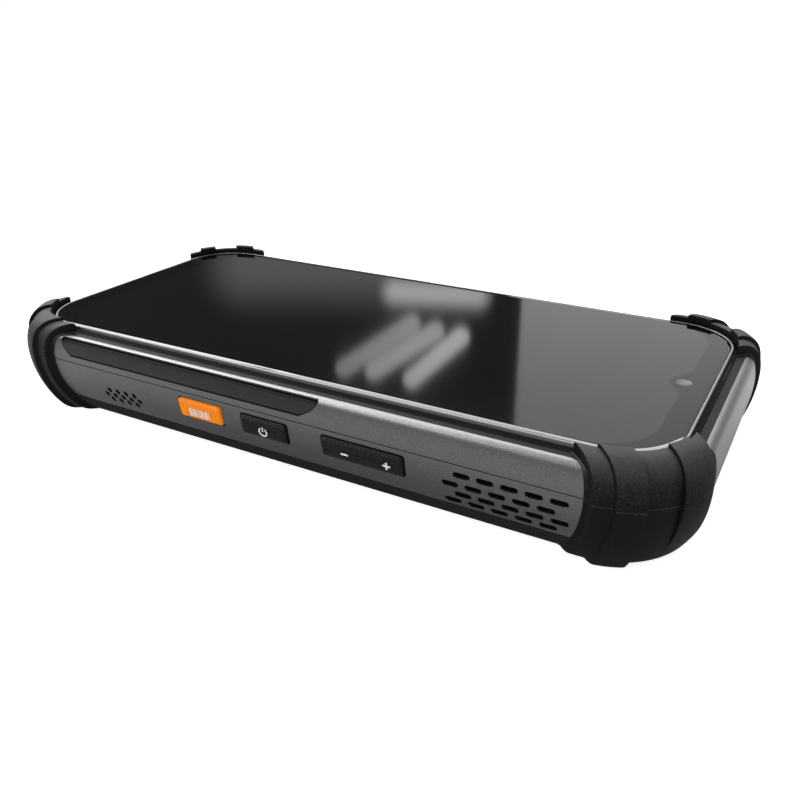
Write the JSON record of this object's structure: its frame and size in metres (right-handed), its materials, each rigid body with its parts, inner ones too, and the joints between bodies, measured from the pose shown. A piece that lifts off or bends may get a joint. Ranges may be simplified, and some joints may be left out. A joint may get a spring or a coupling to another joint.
{
  "type": "rugged handheld tablet",
  "caption": "Phone-shaped rugged handheld tablet with a bevel-framed screen, rubber corner guards, side keys, speaker grille and sealed charging port.",
  "frame": {"origin": "on the surface that the tablet lies on, under the middle of its outline", "axes": "+X along the long side towards the front camera, +Y towards the left long side, +Z out of the screen"},
  "size_m": [0.1688, 0.0844, 0.0242],
  "materials": {
    "cover_glass": "polished, nearly black in front of the unlit screen",
    "display_panel": "glossy black",
    "rim": "satin bevel",
    "gasket": "matte black",
    "frame_metal": "as cast",
    "shell_paint": "satin metallic grey paint with fine sparkle",
    "cover_plastic": "fine moulded texture",
    "guard_rubber": "grained soft-touch rubber",
    "seal_rubber": "silicone cord",
    "screw_steel": "blackened machine screw",
    "trim_plastic": "smooth satin",
    "key_orange": "moulded, with a fine weave",
    "key_black": "moulded, with a fine weave",
    "board": "solder mask",
    "flex": "amber film",
    "can_steel": "tinned sheet",
    "battery_wrap": "plain wrap",
    "lead_red": "wire insulation",
    "part_black": "moulded",
    "mesh_black": "fine woven mesh",
    "lens_black": "glossy lens barrel",
    "window_glass": "polished, smoked",
    "scan_glass": "polished, dark red filter",
    "flash_clear": "frosted diffuser",
    "tray_plastic": "moulded and painted grey"
  },
  "bodies": {
    "housing": {"cover_glass": "cover_glass", "display_panel": "display_panel", "display_rim": "rim", "display_gasket": "gasket", "mid_frame": "frame_metal", "front_shell": "shell_paint", "rear_shell": "shell_paint", "back_cover": "cover_plastic", "shell_seal": "seal_rubber", "case_screws": "screw_steel", "trim_strip_right": "trim_plastic", "trim_strip_left": "trim_plastic", "key_board_right": "flex", "key_board_left": "flex", "key_switches": "can_steel", "port_cover_strap": "guard_rubber", "usb_board": "board", "usb_socket": "can_steel", "card_socket": "can_steel", "main_board": "board", "shield_cans": "can_steel", "battery": "battery_wrap", "battery_lead": "lead_red", "loudspeaker": "part_black", "speaker_mesh": "mesh_black", "microphone": "can_steel", "mic_mesh": "mesh_black", "earpiece": "part_black", "front_camera": "lens_black", "rear_camera": "lens_black", "camera_window": "window_glass", "flash_lens": "flash_clear", "scan_engine": "part_black", "scan_window": "scan_glass", "vibration_motor": "can_steel", "display_flex": "flex", "board_flex": "flex", "antenna_flex": "part_black", "guard_top_right_front": "guard_rubber", "guard_top_right_rear": "guard_rubber", "guard_top_left_front": "guard_rubber", "guard_top_left_rear": "guard_rubber", "guard_bottom_right_front": "guard_rubber", "guard_bottom_right_rear": "guard_rubber", "guard_bottom_left_front": "guard_rubber", "guard_bottom_left_rear": "guard_rubber"},
    "scan_key_right": {"scan_key_right": "key_orange"},
    "scan_key_left": {"scan_key_left": "key_orange"},
    "power_key": {"power_key": "key_black"},
    "volume_key": {"volume_key": "key_black"},
    "port_cover": {"port_cover": "guard_rubber"},
    "card_tray": {"card_tray": "tray_plastic"}
  },
  "joints": [
    {"name": "scan_key_right_press", "type": "slide", "parent": "housing", "child": "scan_key_right", "axis": [0, 1, 0], "range_m": [0, 0.0005], "stiffness_N_per_m": 4000},
    {"name": "scan_key_left_press", "type": "slide", "parent": "housing", "child": "scan_key_left", "axis": [0, -1, 0], "range_m": [0, 0.0005], "stiffness_N_per_m": 4000},
    {"name": "power_key_press", "type": "slide", "parent": "housing", "child": "power_key", "axis": [0, 1, 0], "range_m": [0, 0.0005], "stiffness_N_per_m": 4000},
    {"name": "volume_key_rock", "type": "hinge", "parent": "housing", "child": "volume_key", "pos_m": [0.02115, -0.0375, 0.0115], "axis": [0, 0, 1], "range_deg": [-2.5, 2.5], "stiffness_Nm_per_rad": 0.25},
    {"name": "port_cover_swing", "type": "hinge", "parent": "housing", "child": "port_cover", "pos_m": [-0.0835, 0.0092, 0.0107], "axis": [0, 0, -1], "range_deg": [0, 110]},
    {"name": "card_tray_pull", "type": "slide", "parent": "housing", "child": "card_tray", "axis": [0, 1, 0], "range_m": [0, 0.026]}
  ]
}
